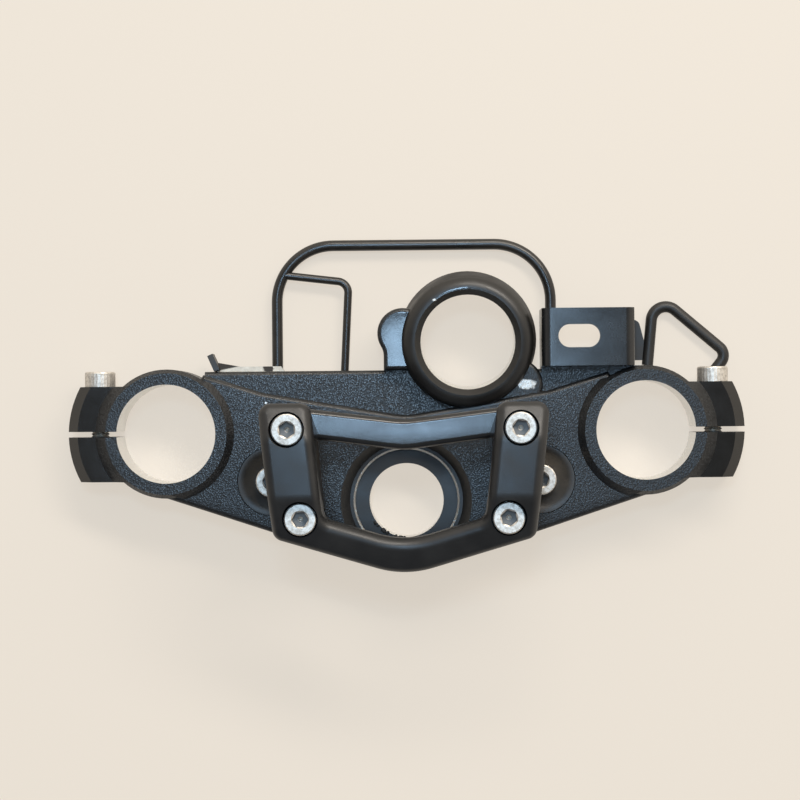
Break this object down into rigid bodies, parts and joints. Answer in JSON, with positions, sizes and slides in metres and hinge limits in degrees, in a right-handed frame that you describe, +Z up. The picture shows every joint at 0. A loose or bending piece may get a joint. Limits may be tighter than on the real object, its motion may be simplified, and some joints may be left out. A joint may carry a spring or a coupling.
{
  "type": "motorcycle triple clamp",
  "caption": "Motorcycle upper yoke: a cast deck with split fork clamps, stem boss and offset ignition ring, carrying a handlebar clamp on risers and bent-rod cable guides.",
  "frame": {"origin": "steering-stem axis at the level of the underside of the fork clamps", "axes": "+X to the rider's right, across the fork clamps; +Y forward; +Z up, along the stem and the fork tubes"},
  "size_m": [0.2954, 0.1458, 0.088],
  "materials": {
    "textured_casting": "textured black powder coat on cast aluminium, bare in the bores",
    "satin_casting": "smooth satin black paint on cast aluminium, worn at the edges",
    "black_steel": "smooth satin black paint on steel",
    "plated_screw": "plain bright plating"
  },
  "bodies": {
    "root": {"top_yoke": "textured_casting", "handlebar_upper_clamp": "satin_casting", "handlebar_riser_left": "satin_casting", "handlebar_riser_right": "satin_casting", "guide_plate": "black_steel", "front_cable_loop": "black_steel", "small_cable_loop": "black_steel", "slot_bracket": "black_steel", "hose_guide": "black_steel", "clamp_screw_front_left": "plated_screw", "clamp_screw_front_right": "plated_screw", "clamp_screw_rear_left": "plated_screw", "clamp_screw_rear_right": "plated_screw", "riser_foot_screw_left": "plated_screw", "riser_foot_screw_right": "plated_screw", "riser_bolt_left": "plated_screw", "riser_bolt_right": "plated_screw", "fork_pinch_bolt_left": "plated_screw", "fork_pinch_bolt_right": "plated_screw", "guide_plate_screw_inner": "plated_screw", "guide_plate_screw_outer": "plated_screw", "bracket_screw_left": "plated_screw", "bracket_screw_right": "plated_screw"}
  },
  "joints": []
}
